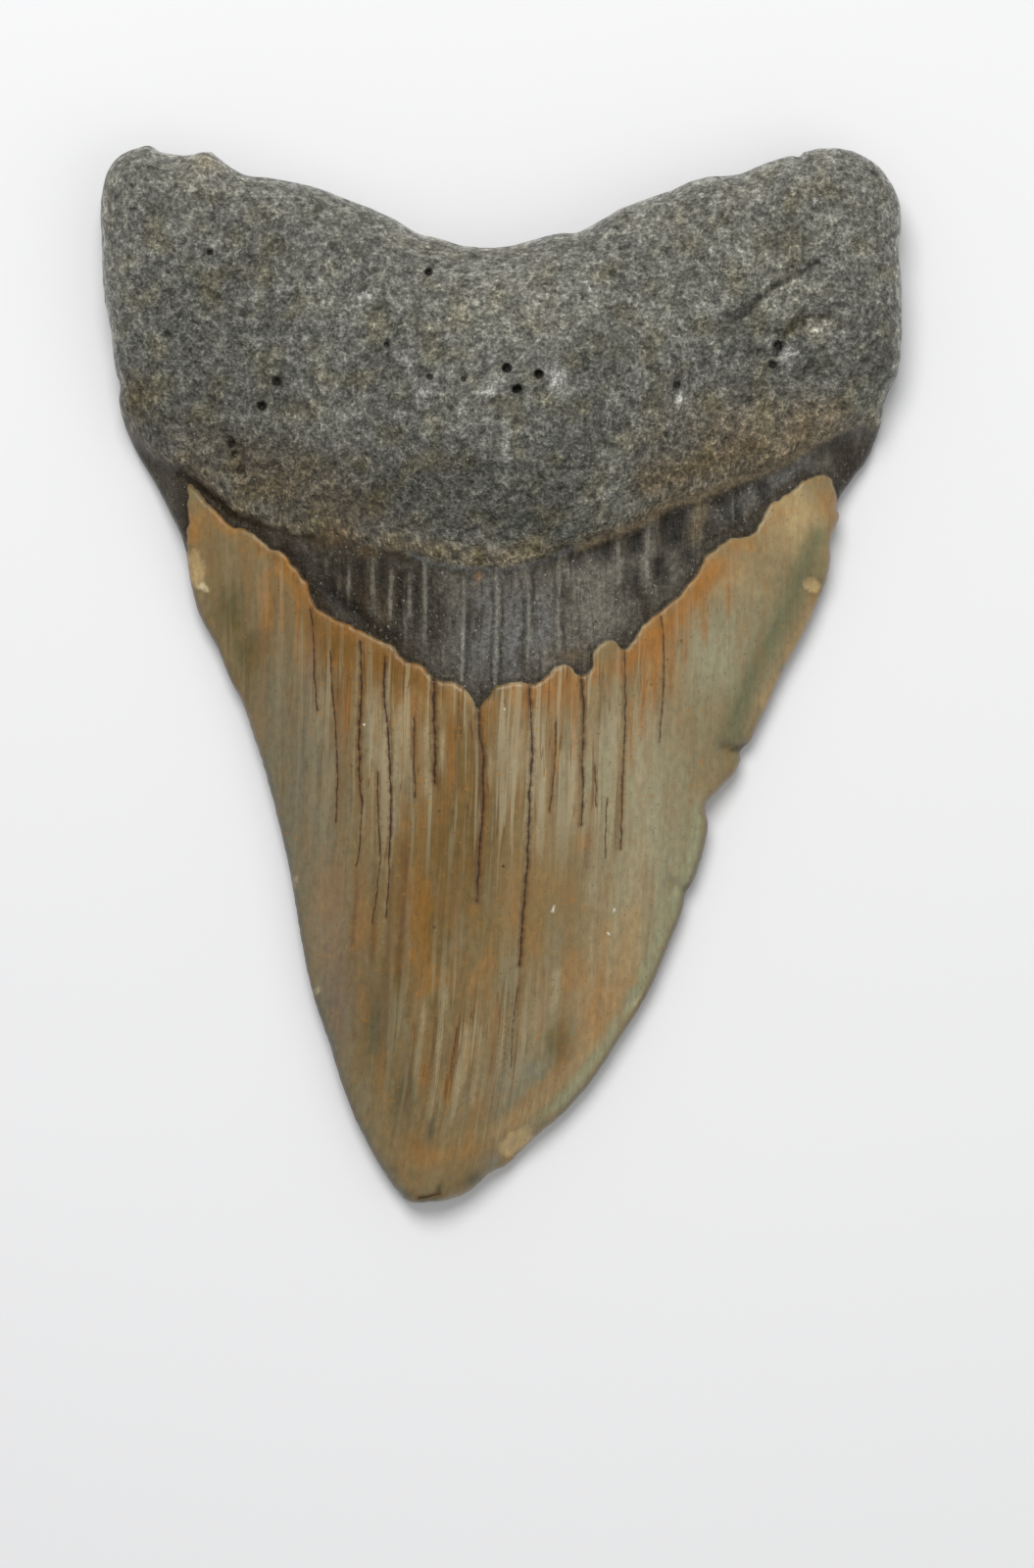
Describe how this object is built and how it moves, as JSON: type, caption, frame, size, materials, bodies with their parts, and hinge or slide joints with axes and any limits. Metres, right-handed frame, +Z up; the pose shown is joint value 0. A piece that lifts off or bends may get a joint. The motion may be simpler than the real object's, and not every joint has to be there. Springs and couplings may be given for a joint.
{
  "type": "fossil megalodon tooth",
  "caption": "Fossil shark tooth lying flat: forked porous grey root, dark bourlette band and a brown to grey-green pointed enamel crown with worn, chipped cutting edges.",
  "frame": {"origin": "on the surface that the tooth rests on, under the middle of its outline", "axes": "+X across the root, from its left lobe to its right lobe as the picture shows them; +Y from the tip towards the root; +Z up, out of the lingual face"},
  "size_m": [0.0646, 0.0856, 0.0162],
  "materials": {
    "fossil": "dull grey porous root, satin brown to grey-green enamel"
  },
  "bodies": {
    "root": {"tooth": "fossil"}
  },
  "joints": []
}
